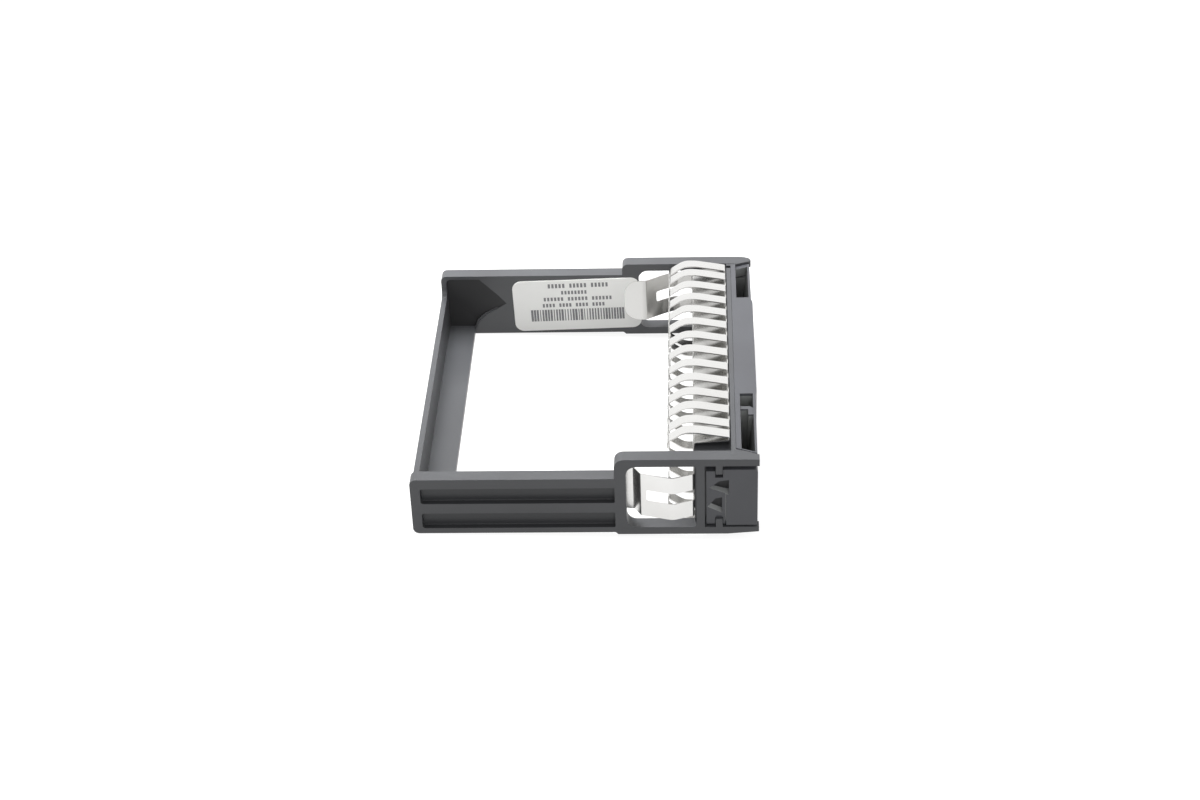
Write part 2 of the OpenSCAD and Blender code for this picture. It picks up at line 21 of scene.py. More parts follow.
import bpy
from mathutils import Euler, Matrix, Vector

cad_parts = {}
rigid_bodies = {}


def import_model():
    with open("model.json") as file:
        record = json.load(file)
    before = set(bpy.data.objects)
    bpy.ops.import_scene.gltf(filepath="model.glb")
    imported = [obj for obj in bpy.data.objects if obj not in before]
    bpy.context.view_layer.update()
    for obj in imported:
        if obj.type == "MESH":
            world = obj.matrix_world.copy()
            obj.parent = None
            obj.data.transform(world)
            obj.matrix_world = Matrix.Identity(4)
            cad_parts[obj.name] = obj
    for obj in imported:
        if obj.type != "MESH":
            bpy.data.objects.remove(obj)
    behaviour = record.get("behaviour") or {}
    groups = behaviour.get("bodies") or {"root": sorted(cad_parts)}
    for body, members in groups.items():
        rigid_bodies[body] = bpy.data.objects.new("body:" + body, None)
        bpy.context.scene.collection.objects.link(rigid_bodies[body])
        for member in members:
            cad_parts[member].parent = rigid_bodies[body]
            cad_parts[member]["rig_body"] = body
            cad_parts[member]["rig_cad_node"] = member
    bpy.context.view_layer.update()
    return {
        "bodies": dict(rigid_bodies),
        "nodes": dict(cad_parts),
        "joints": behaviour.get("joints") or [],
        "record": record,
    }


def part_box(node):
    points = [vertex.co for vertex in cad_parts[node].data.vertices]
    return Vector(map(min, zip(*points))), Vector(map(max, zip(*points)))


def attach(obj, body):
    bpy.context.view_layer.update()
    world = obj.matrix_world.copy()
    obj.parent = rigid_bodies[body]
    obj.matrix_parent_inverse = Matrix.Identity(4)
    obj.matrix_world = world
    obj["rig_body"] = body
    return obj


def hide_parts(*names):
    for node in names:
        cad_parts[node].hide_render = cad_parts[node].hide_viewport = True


LOG = logging.getLogger("bay_filler")
MM = 0.001
BODY = "root"

Color = tuple[float, float, float, float]
Span = tuple[float, float]
Tree = bpy.types.NodeTree
Socket = bpy.types.NodeSocket
Value = Union[Socket, float, Color]

WHITE: Color = (1.0, 1.0, 1.0, 1.0)
NOISE_SPAN: Span = (0.3, 0.7)  # nearly all of a noise's values lie in it
NO_LEAN: Span = (2.0, 2.0)  # a range that no face's normal reaches
FAR_OUT = 1.0  # further out than any face of the part


class Slot(Enum):
    """The record's material slots."""

    FRAME = "frame_plastic"
    BEZEL = "bezel_plastic"
    SPRING = "spring_steel"
    LABEL = "label_paper"


class Axis(IntEnum):
    """Places of X, Y and Z in a vector."""

    X = 0
    Y = 1
    Z = 2


# ---------------------------------------------------------------- shader building


class NodeBuilder:
    """Adds, feeds and combines the nodes of one tree."""

    def __init__(self, tree: Tree) -> None:
        """Keeps the tree.

        Args:
            tree: the node tree to fill.
        """
        self.tree = tree

    def add(self, kind: str, **values: object) -> bpy.types.Node:
        """Adds a node and sets its properties or its inputs' defaults.

        Args:
            kind: the node's type name.
            values: properties, or inputs by their name with spaces as underscores.

        Returns:
            The new node.
        """
        node = self.tree.nodes.new(kind)
        for name, value in values.items():
            if hasattr(node, name):
                setattr(node, name, value)
            else:
                node.inputs[name.replace("_", " ")].default_value = value
        return node

    def feed(self, value: Value, target: Socket) -> None:
        """Links an output to an input, or sets the input to a plain number or colour.

        Args:
            value: the output, number or colour.
            target: the input.
        """
        if isinstance(value, bpy.types.NodeSocket):
            self.tree.links.new(value, target)
        else:
            target.default_value = value

    def math(self, operation: str, *values: Socket | float) -> Socket:
        """Adds a Math node.

        Args:
            operation: the node's operation.
            values: its inputs, sockets or numbers.

        Returns:
            The result.
        """
        node = self.add("ShaderNodeMath", operation=operation)
        for slot, value in enumerate(values):
            self.feed(value, node.inputs[slot])
        return node.outputs[0]

    def chain(self, operation: str, *values: Socket | float) -> Socket:
        """Joins any number of values, two by two, with one operation.

        Args:
            operation: the Math operation.
            values: sockets or numbers.

        Returns:
            The result.
        """
        return reduce(lambda first, second: self.math(operation, first, second), values)

    def split(self, vector: Socket) -> tuple[Socket, Socket, Socket]:
        """Splits a vector.

        Args:
            vector: the vector to split.

        Returns:
            Its X, Y and Z.
        """
        node = self.add("ShaderNodeSeparateXYZ")
        self.feed(vector, node.inputs[0])
        return node.outputs["X"], node.outputs["Y"], node.outputs["Z"]

    def within(self, value: Socket, low: float, high: float) -> Socket:
        """Gives 1 where a value lies between two bounds, else 0."""
        return self.math("COMPARE", value, (low + high) / 2, (high - low) / 2)

    def ramp(
        self, value: Socket, low: float, high: float, to_low: float = 0.0, to_high: float = 1.0
    ) -> Socket:
        """Maps a value from one range to another, clamped.

        Args:
            value: the value to map.
            low: start of the source range.
            high: end of the source range.
            to_low: start of the target range.
            to_high: end of the target range.

        Returns:
            The mapped value.
        """
        node = self.add(
            "ShaderNodeMapRange", From_Min=low, From_Max=high, To_Min=to_low, To_Max=to_high
        )
        self.feed(value, node.inputs["Value"])
        return node.outputs["Result"]

    def noise(
        self, vector: Socket, scale: Socket | float, detail: float, roughness: float = 0.5
    ) -> Socket:
        """Adds a noise texture.

        Args:
            vector: the coordinate that it reads.
            scale: features per metre.
            detail: octaves of detail.
            roughness: share that each octave keeps of the one before.

        Returns:
            The noise's factor.
        """
        node = self.add("ShaderNodeTexNoise", Detail=detail, Roughness=roughness)
        self.feed(vector, node.inputs["Vector"])
        self.feed(scale, node.inputs["Scale"])
        return node.outputs["Fac"]

    def blend(self, mask: Socket, first: Socket | Color, second: Socket | Color) -> Socket:
        """Mixes two colours by a mask.

        Args:
            mask: 0 for the first colour, 1 for the second.
            first: colour at 0.
            second: colour at 1.

        Returns:
            The mixed colour.
        """
        mix = self.add("ShaderNodeMix", data_type="RGBA")
        self.feed(mask, mix.inputs["Factor"])
        below, above = (socket for socket in mix.inputs if socket.type == "RGBA")
        self.feed(first, below)
        self.feed(second, above)
        return next(socket for socket in mix.outputs if socket.type == "RGBA")

    def bump(self, height: Socket, strength: float, distance: float) -> Socket:
        """Turns a height into a normal.

        Args:
            height: the height to read.
            strength: how strongly it counts.
            distance: depth of the relief.

        Returns:
            The normal.
        """
        node = self.add("ShaderNodeBump", Strength=strength, Distance=distance)
        self.feed(height, node.inputs["Height"])
        return node.outputs["Normal"]

    def place(self, group: Tree, coords: Socket, **scales: float) -> bpy.types.Node:
        """Places a node group.

        Args:
            group: the group.
            coords: the coordinate that it reads.
            scales: its scale inputs by name.

        Returns:
            The group's node.
        """
        node = self.add("ShaderNodeGroup", node_tree=group, **scales)
        self.feed(coords, node.inputs["Vector"])
        return node


class SurfaceGroup:
    """A started shader node group that reads a coordinate and puts out masks and heights."""

    def __init__(self, name: str, scales: tuple[str, ...], outputs: tuple[str, ...]) -> None:
        """Makes the group's sockets.

        Args:
            name: the group's name.
            scales: names of its scale inputs, in features per metre, set by each material.
            outputs: names of its outputs.
        """
        self.tree = bpy.data.node_groups.new(name, "ShaderNodeTree")
        sockets = self.tree.interface
        sockets.new_socket("Vector", in_out="INPUT", socket_type="NodeSocketVector")
        for key in scales:
            sockets.new_socket(key, in_out="INPUT", socket_type="NodeSocketFloat")
        for key in outputs:
            sockets.new_socket(key, in_out="OUTPUT", socket_type="NodeSocketFloat")
        self.build = NodeBuilder(self.tree)
        self.entry = self.build.add("NodeGroupInput").outputs
        self.leave = self.build.add("NodeGroupOutput").inputs


@dataclass(frozen=True)
class MouldedGrain:
    """Grain of textured moulded plastic, with its specks in features per metre."""

    speck: float = 900.0
    speck_share: float = 0.35
    polish_span: Span = (0.35, 0.65)

    def make(self) -> Tree:
        """Builds the node group.

        Returns:
            A group that puts out a height, a tone mask and a polish mask.
        """
        group = SurfaceGroup("MouldedGrain", ("Grain", "Cloud"), ("Height", "Tone", "Polish"))
        build, entry, leave = group.build, group.entry, group.leave
        fine = build.noise(entry["Vector"], entry["Grain"], detail=3.0, roughness=0.6)
        cloud = build.noise(entry["Vector"], entry["Cloud"], detail=4.0, roughness=0.55)
        speck = build.add("ShaderNodeTexVoronoi", Scale=self.speck)
        build.feed(entry["Vector"], speck.inputs["Vector"])
        height = build.math("MULTIPLY_ADD", speck.outputs["Distance"], self.speck_share, fine)
        build.feed(height, leave["Height"])
        build.feed(build.ramp(cloud, *NOISE_SPAN), leave["Tone"])
        build.feed(build.ramp(fine, *self.polish_span), leave["Polish"])
        return group.tree


@dataclass(frozen=True)
class RolledLines:
    """Faint lines and tarnish of rolled sheet, with the stretch of its lines along each axis."""

    stretch: tuple[float, float, float] = (12.0, 0.6, 12.0)
    tarnish_span: Span = (0.5, 0.75)

    def make(self) -> Tree:
        """Builds the node group.

        Returns:
            A group that puts out a streak mask, a height and a tarnish mask.
        """
        group = SurfaceGroup("RolledSheet", ("Lines", "Tarnish"), ("Streak", "Height", "Tarnish"))
        build, entry, leave = group.build, group.entry, group.leave
        drawn = build.add("ShaderNodeMapping", Scale=self.stretch)
        build.feed(entry["Vector"], drawn.inputs["Vector"])
        lines = build.noise(drawn.outputs["Vector"], entry["Lines"], detail=4.0, roughness=0.7)
        spots = build.noise(entry["Vector"], entry["Tarnish"], detail=5.0, roughness=0.6)
        build.feed(build.ramp(lines, *NOISE_SPAN), leave["Streak"])
        build.feed(lines, leave["Height"])
        build.feed(build.ramp(spots, *self.tarnish_span), leave["Tarnish"])
        return group.tree


# ---------------------------------------------------------------- finishes


class Finish(ABC):
    """Base of a finish: one material with its Principled shader and Object coordinates."""

    name: str

    def make(self) -> bpy.types.Material:
        """Builds the material.

        Returns:
            The finished material.
        """
        material = bpy.data.materials.new(self.name)
        material.use_nodes = True
        build = NodeBuilder(material.node_tree)
        coords = build.add("ShaderNodeTexCoord").outputs["Object"]
        self.paint(build, material.node_tree.nodes["Principled BSDF"], coords)
        return material

    @abstractmethod
    def paint(self, build: NodeBuilder, shader: bpy.types.Node, coords: Socket) -> None:
        """Feeds the shader.

        Args:
            build: the material's builder.
            shader: its Principled shader.
            coords: the Object coordinate.
        """


@dataclass(frozen=True)
class PaintedTone:
    """Colour and roughness of one zone of a moulding, the colour painted darker for shade and paler
    for light.
    """

    color: Color
    roughness: float


@dataclass(frozen=True)
class PaintedZone:
    """A zone of a moulding whose colour is painted darker for shade and paler for light."""

    low: Vector
    high: Vector
    painted_tone: PaintedTone
    lean: Span
    axis: Axis = Axis.X
    deep: float = FAR_OUT

    def mask(self, build: NodeBuilder, coords: Socket) -> Socket:
        """Builds the zone's mask.

        Args:
            build: the plastic's builder.
            coords: the Object coordinate.

        Returns:
            1 inside the zone, on the faces that lean as asked or lie further out than deep.
        """
        places = build.split(coords)
        sides = zip(places, self.low, self.high)
        inside = build.chain("MULTIPLY", *(build.within(*side) for side in sides))
        normal = build.add("ShaderNodeTexCoord").outputs["Normal"]
        leaning = build.within(build.split(normal)[self.axis], *self.lean)
        outer = build.math("GREATER_THAN", build.math("ABSOLUTE", places[Axis.Y]), self.deep)
        return build.math("MULTIPLY", inside, build.math("MAXIMUM", leaning, outer))

    def lay(
        self, build: NodeBuilder, coords: Socket, tone: Socket, rough: Socket
    ) -> tuple[Socket, Socket]:
        """Lays the zone's painted colour, darker for shade and paler for light, and its roughness over
        a colour and a roughness.

        Args:
            build: the plastic's builder.
            coords: the Object coordinate.
            tone: the colour below.
            rough: the roughness below.

        Returns:
            The new colour and roughness.
        """
        mask = self.mask(build, coords)
        change = build.math("MULTIPLY", mask, build.math("SUBTRACT", self.painted_tone.roughness, rough))
        return build.blend(mask, tone, self.painted_tone.color), build.math("ADD", rough, change)


@dataclass(frozen=True)
class MouldedPlastic(Finish):
    """Dark glass-filled plastic with a fine sparked mould texture, and zones of painted shade and
    painted light laid over it.
    """

    name: str
    grain: Tree
    zones: tuple[PaintedZone, ...]
    dark: Color = (0.046, 0.047, 0.050, 1.0)
    pale: Color = (0.055, 0.057, 0.061, 1.0)
    matt: float = 0.38
    polished: float = 0.28
    shine: float = 0.6
    relief: float = 0.012 * MM
    relief_strength: float = 0.5
    grain_scale: float = 5200.0
    cloud_scale: float = 60.0

    def paint(self, build: NodeBuilder, shader: bpy.types.Node, coords: Socket) -> None:
        """Feeds the shader with the grain and the zones of painted shade and painted light.

        Args:
            build: the material's builder.
            shader: its Principled shader.
            coords: the Object coordinate.
        """
        scales = {"Grain": self.grain_scale, "Cloud": self.cloud_scale}
        grain = build.place(self.grain, coords, **scales).outputs
        tone = build.blend(grain["Tone"], self.dark, self.pale)
        rough = build.ramp(grain["Polish"], 0.0, 1.0, self.matt, self.polished)
        # Each zone lays its painted shade and painted light over the grain's colour.
        for zone in self.zones:
            tone, rough = zone.lay(build, coords, tone, rough)
        normal = build.bump(grain["Height"], self.relief_strength, self.relief)
        build.feed(tone, shader.inputs["Base Color"])
        build.feed(rough, shader.inputs["Roughness"])
        build.feed(normal, shader.inputs["Normal"])
        shader.inputs["Specular IOR Level"].default_value = self.shine


@dataclass(frozen=True)
class SpringSheet(Finish):
    """Bright rolled spring steel, with painted shade on the side that the folds hide."""

    name: str
    sheet: Tree
    low: Vector
    high: Vector
    bright: Color = (0.90, 0.895, 0.88, 1.0)
    tarnished: Color = (0.85, 0.84, 0.82, 1.0)
    # Painted shade: the inner sides that the folds hide are coloured grey to stand for the shade on
    # them.
    inner_painted_shade: Color = (0.54, 0.535, 0.52, 1.0)
    # Share of the painted shade that the far spring's tail keeps.
    tail_shade_share: float = 0.6
    polished: float = 0.18
    brushed: float = 0.28
    relief: float = 0.006 * MM
    relief_strength: float = 0.25
    lines_scale: float = 900.0
    tarnish_scale: float = 70.0
    fold_to_middle: float = 4.2 * MM
    fold_to_flange: float = 7.2 * MM
    side_blend: float = 0.5 * MM
    flange_drops: Span = (1.65 * MM, 1.95 * MM)
    near_end: float = 7.0 * MM
    far_end: float = 4.4 * MM
    far_spring: float = 4.0 * MM
    tail_ends: Span = (4.3 * MM, 5.4 * MM)
    level_lean: float = 0.7
    inward_lean: float = -0.3

    def folded_shade(self, build: NodeBuilder, coords: Socket, normal: Socket) -> Socket:
        """Builds the painted shade mask of the fingers' inner side and of the flanges under them.

        Args:
            build: the material's builder.
            coords: the Object coordinate.
            normal: the surface's normal on the same axes.

        Returns:
            1 on the inner side.
        """
        x, y, z = build.split(coords)
        nx, ny, nz = build.split(normal)
        centre = (self.low + self.high) / 2
        from_middle = build.math("SUBTRACT", x, self.high.x - self.fold_to_middle)
        from_centre = build.math("SUBTRACT", z, centre.z)
        facing = build.math(
            "ADD", build.math("MULTIPLY", nx, from_middle), build.math("MULTIPLY", nz, from_centre)
        )
        inner = build.ramp(facing, self.side_blend, -self.side_blend)
        crest = (self.high.z - self.low.z) / 2
        start, full = (crest - drop for drop in self.flange_drops)
        under = build.ramp(build.math("ABSOLUTE", from_centre), start, full)
        in_front = build.ramp(x, self.high.x - self.fold_to_flange, self.high.x - self.fold_to_middle)
        flange = build.math("MULTIPLY", under, in_front)
        span = build.within(y, self.low.y + self.near_end, self.high.y - self.far_end)
        level = build.math("LESS_THAN", build.math("ABSOLUTE", ny), self.level_lean)
        return build.chain("MULTIPLY", build.math("MAXIMUM", inner, flange), span, level)

    def far_spring_shade(self, build: NodeBuilder, coords: Socket, normal: Socket) -> Socket:
        """Builds the painted shade mask of the far side spring's inner side.

        Args:
            build: the material's builder.
            coords: the Object coordinate.
            normal: the surface's normal on the same axes.

        Returns:
            1 on the spring's inner side, less on its tail.
        """
        x, y, _ = build.split(coords)
        _, ny, _ = build.split(normal)
        beside_rail = build.math("GREATER_THAN", y, self.high.y - self.far_spring)
        inward = build.math("LESS_THAN", ny, self.inward_lean)
        tail_start, tail_end = (self.low.x + end for end in self.tail_ends)
        # The tail keeps only part of the painted shade.
        past_tail = build.ramp(x, tail_start, tail_end, self.tail_shade_share, 1.0)
        return build.chain("MULTIPLY", beside_rail, inward, past_tail)

    def paint(self, build: NodeBuilder, shader: bpy.types.Node, coords: Socket) -> None:
        """Feeds the shader with the lines, the tarnish and the painted shade on the inner sides.

        Args:
            build: the material's builder.
            shader: its Principled shader.
            coords: the Object coordinate.
        """
        scales = {"Lines": self.lines_scale, "Tarnish": self.tarnish_scale}
        sheet = build.place(self.sheet, coords, **scales).outputs
        normal = build.add("ShaderNodeTexCoord").outputs["Normal"]
        folded = self.folded_shade(build, coords, normal)
        shade_mask = build.math("MAXIMUM", folded, self.far_spring_shade(build, coords, normal))
        outer = build.blend(sheet["Tarnish"], self.bright, self.tarnished)
        rough = build.ramp(sheet["Streak"], 0.0, 1.0, self.polished, self.brushed)
        relief = build.bump(sheet["Height"], self.relief_strength, self.relief)
        # The shaded inner sides get the painted shade colour.
        build.feed(build.blend(shade_mask, outer, self.inner_painted_shade), shader.inputs["Base Color"])
        build.feed(rough, shader.inputs["Roughness"])
        build.feed(relief, shader.inputs["Normal"])
        shader.inputs["Metallic"].default_value = 1.0


@dataclass(frozen=True)
class PrintRow:
    """One row of plain printed dashes or bars on the label, in millimetres from its centre."""

    start: float
    low: float
    high: float
    pitch: float
    cells: int
    group: int
    thin: float = 0.62
    thick: float = 0.62

    def mask(self, build: NodeBuilder, along: Socket, up: Socket) -> Socket:
        """Builds the row's ink mask.

        Args:
            build: the label material's builder.
            along: coordinate along the label.
            up: coordinate up the label.

        Returns:
            1 where there is ink.
        """
        # Each cell holds one dash in its middle, and an empty cell follows each group.
        cell = build.math("DIVIDE", build.math("SUBTRACT", along, self.start), self.pitch)
        number = build.math("FLOOR", cell)
        draw = build.add("ShaderNodeTexWhiteNoise", noise_dimensions="1D")
        build.feed(build.math("ADD", number, 0.5), draw.inputs["W"])
        width = build.ramp(draw.outputs["Value"], 0.0, 1.0, self.thin / 2, self.thick / 2)
        dash = build.math("COMPARE", build.math("FRACT", cell), 0.5, width)
        turn = build.math("FLOORED_MODULO", number, self.group + 1.0)
        grouped = build.math("LESS_THAN", turn, self.group - 0.5)
        in_row = build.within(cell, 0.0, self.cells)
        in_band = build.within(up, self.low, self.high)
        return build.chain("MULTIPLY", dash, grouped, in_row, in_band)


@dataclass(frozen=True)
class LabelFilm(Finish):
    """White label film with a faint paper tooth and plain rows of printed dashes and bars."""

    name: str
    centre: Vector
    tilt: float = 1.7
    paper: Color = (0.81, 0.81, 0.79, 1.0)
    aged: Color = (0.77, 0.77, 0.75, 1.0)
    ink: Color = (0.13, 0.13, 0.14, 1.0)
    ageing: float = 120.0
    wear: float = 2600.0
    tooth: float = 9000.0
    wear_span: Span = (0.3, 0.5)
    ink_left: Span = (0.8, 0.95)
    sheen: Span = (0.42, 0.55)
    relief: float = 0.004 * MM
    relief_strength: float = 0.3
    rows: tuple[PrintRow, ...] = (
        PrintRow(start=-6.2, low=4.35, high=5.4, pitch=0.78, cells=17, group=5),
        PrintRow(start=-3.4, low=2.7, high=3.6, pitch=0.72, cells=8, group=8),
        PrintRow(start=-7.3, low=1.1, high=2.0, pitch=0.75, cells=20, group=6),
        PrintRow(start=-7.6, low=-0.45, high=0.45, pitch=0.72, cells=19, group=4),
        PrintRow(
            start=-10.2, low=-3.95, high=-1.05, pitch=0.6, cells=34, group=34, thin=0.3, thick=0.85
        ),
    )

    def printed(self, build: NodeBuilder, coords: Socket) -> Socket:
        """Builds the ink mask of all rows.

        Args:
            build: the material's builder.
            coords: the Object coordinate.

        Returns:
            1 where there is ink.
        """
        flat = build.add("ShaderNodeMapping", vector_type="TEXTURE")
        flat.inputs["Location"].default_value = self.centre
        flat.inputs["Rotation"].default_value = (0.0, math.radians(-self.tilt), 0.0)
        flat.inputs["Scale"].default_value = (MM, MM, MM)
        build.feed(coords, flat.inputs["Vector"])
        along, _, up = build.split(flat.outputs["Vector"])
        return build.chain("MAXIMUM", *(row.mask(build, along, up) for row in self.rows))

    def paint(self, build: NodeBuilder, shader: bpy.types.Node, coords: Socket) -> None:
        """Feeds the shader with the paper, its tooth and the worn print.

        Args:
            build: the material's builder.
            shader: its Principled shader.
            coords: the Object coordinate.
        """
        cloud = build.ramp(build.noise(coords, self.ageing, detail=4.0), *NOISE_SPAN)
        paper = build.blend(cloud, self.aged, self.paper)
        worn = build.ramp(build.noise(coords, self.wear, detail=3.0), *self.wear_span, *self.ink_left)
        inked = build.math("MULTIPLY", self.printed(build, coords), worn)
        tooth = build.noise(coords, self.tooth, detail=2.0)
        relief = build.bump(tooth, self.relief_strength, self.relief)
        build.feed(build.blend(inked, paper, self.ink), shader.inputs["Base Color"])
        build.feed(build.ramp(tooth, *NOISE_SPAN, *self.sheen), shader.inputs["Roughness"])
        build.feed(relief, shader.inputs["Normal"])


# ---------------------------------------------------------------- modelling helpers


def select_only(piece: bpy.types.Object) -> None:
    """Makes one object the only selected and active one.

    Args:
        piece: the object.
    """
    bpy.ops.object.select_all(action="DESELECT")
    piece.select_set(True)
    bpy.context.view_layer.objects.active = piece


def merged_copy(
    node: bpy.types.Object, name: str, gap: float = 0.002 * MM, flat: float = 0.3
) -> bpy.types.Object:
    """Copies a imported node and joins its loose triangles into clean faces.

    Args:
        node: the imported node's object.
        name: name of the copy.
        gap: points closer than this are joined.
        flat: faces that meet at less than this many degrees are joined.

    Returns:
        The copy, with its own mesh.
    """
    copy = node.copy()
    copy.data = node.data.copy()
    copy.name = name
    copy.data.name = name
    copy.parent = None
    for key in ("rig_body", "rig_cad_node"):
        if key in copy:
            del copy[key]
    bpy.context.scene.collection.objects.link(copy)
    copy.data.materials.clear()
    select_only(copy)
    bpy.ops.object.mode_set(mode="EDIT")
    bpy.ops.mesh.select_all(action="SELECT")
    bpy.ops.mesh.remove_doubles(threshold=gap)
    bpy.ops.mesh.dissolve_limited(angle_limit=math.radians(flat), delimit={"NORMAL"})
    bpy.ops.mesh.select_all(action="DESELECT")
    bpy.ops.object.mode_set(mode="OBJECT")
    return copy


def crease(piece: bpy.types.Object, low: Vector, high: Vector, angle: float) -> None:
    """Keeps the slight edges in a zone crisp when the piece is shaded smooth.

    Args:
        piece: the piece.
        low: lowest corner of the zone.
        high: highest corner of the zone.
        angle: edges that turn more than this many degrees are kept.
    """
    select_only(piece)
    bpy.ops.object.mode_set(mode="EDIT")
    bpy.ops.mesh.select_mode(type="EDGE")
    bpy.ops.mesh.select_all(action="DESELECT")
    bpy.ops.mesh.edges_select_sharp(sharpness=math.radians(angle))
    bpy.ops.object.mode_set(mode="OBJECT")
    points = piece.data.vertices
    for edge in piece.data.edges:
        ends = [points[i].co for i in edge.vertices]
        inside = all(low[axis] <= end[axis] <= high[axis] for end in ends for axis in Axis)
        if edge.select and inside:
            edge.use_edge_sharp = True


def soften(
    piece: bpy.types.Object, width: float, segments: int = 2, sharp: float = 40.0, smooth: float = 35.0
) -> None:
    """Rounds a piece's sharp edges and shades it smooth.

    Args:
        piece: the piece to round.
        width: width of the rounding.
        segments: faces across each rounding.
        sharp: edges that turn more than this many degrees are rounded.
        smooth: edges that turn less than this many degrees are shaded smooth.
    """
    select_only(piece)
    bevel = piece.modifiers.new("soft_edges", "BEVEL")
    bevel.width = width
    bevel.segments = segments
    bevel.limit_method = "ANGLE"
    bevel.angle_limit = math.radians(sharp)
    bevel.use_clamp_overlap = True
    bevel.harden_normals = False
    bpy.ops.object.modifier_apply(modifier=bevel.name)
    bpy.ops.object.shade_smooth_by_angle(angle=math.radians(smooth), keep_sharp_edges=True)
    even = piece.modifiers.new("even_normals", "WEIGHTED_NORMAL")
    even.mode = "FACE_AREA"
    even.weight = 100
    even.keep_sharp = True
    bpy.ops.object.modifier_apply(modifier=even.name)


def dress(piece: bpy.types.Object, material: bpy.types.Material, node: str) -> None:
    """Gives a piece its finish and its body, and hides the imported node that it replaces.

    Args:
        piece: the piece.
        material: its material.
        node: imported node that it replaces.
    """
    piece.data.materials.clear()
    piece.data.materials.append(material)
    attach(piece, BODY)
    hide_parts(node)


# ---------------------------------------------------------------- the object's pieces


@dataclass
class OpenFrame:
    """The moulded frame: two rails, the rear crossbar, the front section and its beam."""

    node: bpy.types.Object
    grain: Tree
    edge: float = 0.22 * MM
    rail: float = 2.95 * MM
    rail_run: float = 39.2 * MM
    rear_wall: float = 1.15 * MM
    foot: float = 1.0 * MM
    scoop_foot: float = 1.8 * MM
    scoop_run: float = 14.2 * MM
    scoop_depth: float = 0.9 * MM
    scoop_lean: Span = (-0.3, -0.04)
    # Painted shade: the scoops at the rear corners are coloured near black to stand for the shade in
    # them.
    scoop_painted_shade: PaintedTone = PaintedTone((0.019, 0.019, 0.020, 1.0), 0.7)
    scoop_crease: float = 3.0
    channel_start: float = 1.5 * MM
    channel_lip: float = 0.15 * MM
    channel_top: float = 11.6 * MM
    # Painted shade: the channel backs are coloured darker to stand for the shade in the grooves.
    channel_painted_shade: PaintedTone = PaintedTone((0.028, 0.029, 0.031, 1.0), 0.42)

    def scoops(self, low: Vector, high: Vector) -> PaintedZone:
        """Gives the zone of painted shade on the sloping scoops at the rear corners.

        Args:
            low: lowest corner of the frame.
            high: highest corner of the frame.

        Returns:
            The zone.
        """
        return PaintedZone(
            Vector((low.x + self.rear_wall, low.y + self.rail / 2, low.z + self.foot)),
            Vector((low.x + self.scoop_run, high.y - self.rail / 2, high.z)),
            self.scoop_painted_shade,
            self.scoop_lean,
        )

    def scoop_backs(self, low: Vector, high: Vector) -> PaintedZone:
        """Gives the zone of painted shade where the scoops have reached their full depth.

        Args:
            low: lowest corner of the frame.
            high: highest corner of the frame.

        Returns:
            The zone.
        """
        return PaintedZone(
            Vector((low.x + self.rear_wall, low.y + self.rail / 2, low.z + self.scoop_foot)),
            Vector((low.x + self.scoop_run, high.y - self.rail / 2, low.z + self.channel_top)),
            self.scoop_painted_shade,
            NO_LEAN,
            deep=high.y - self.rail + self.scoop_depth,
        )

    def channels(self, low: Vector, high: Vector) -> PaintedZone:
        """Gives the zone of painted shade inside the rails' guide channels.

        Args:
            low: lowest corner of the frame.
            high: highest corner of the frame.

        Returns:
            The zone.
        """
        lip = self.channel_lip
        return PaintedZone(
            Vector((low.x + self.channel_start, low.y + lip, low.z + self.foot)),
            Vector((low.x + self.rail_run, high.y - lip, low.z + self.channel_top)),
            self.channel_painted_shade,
            NO_LEAN,
            deep=high.y - self.rail / 2,
        )

    def build(self) -> bpy.types.Object:
        """Makes the frame with softened edges, crisp scoops and painted shade in the scoops and
        channels.

        Returns:
            The frame.
        """
        low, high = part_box("bay_frame")
        scoops = self.scoops(low, high)
        zones = (scoops, self.scoop_backs(low, high), self.channels(low, high))
        frame = merged_copy(self.node, "open_frame")
        crease(frame, scoops.low, scoops.high, self.scoop_crease)
        soften(frame, self.edge)
        finish = MouldedPlastic("frame_moulding", self.grain, zones).make()
        dress(frame, finish, "bay_frame")
        return frame


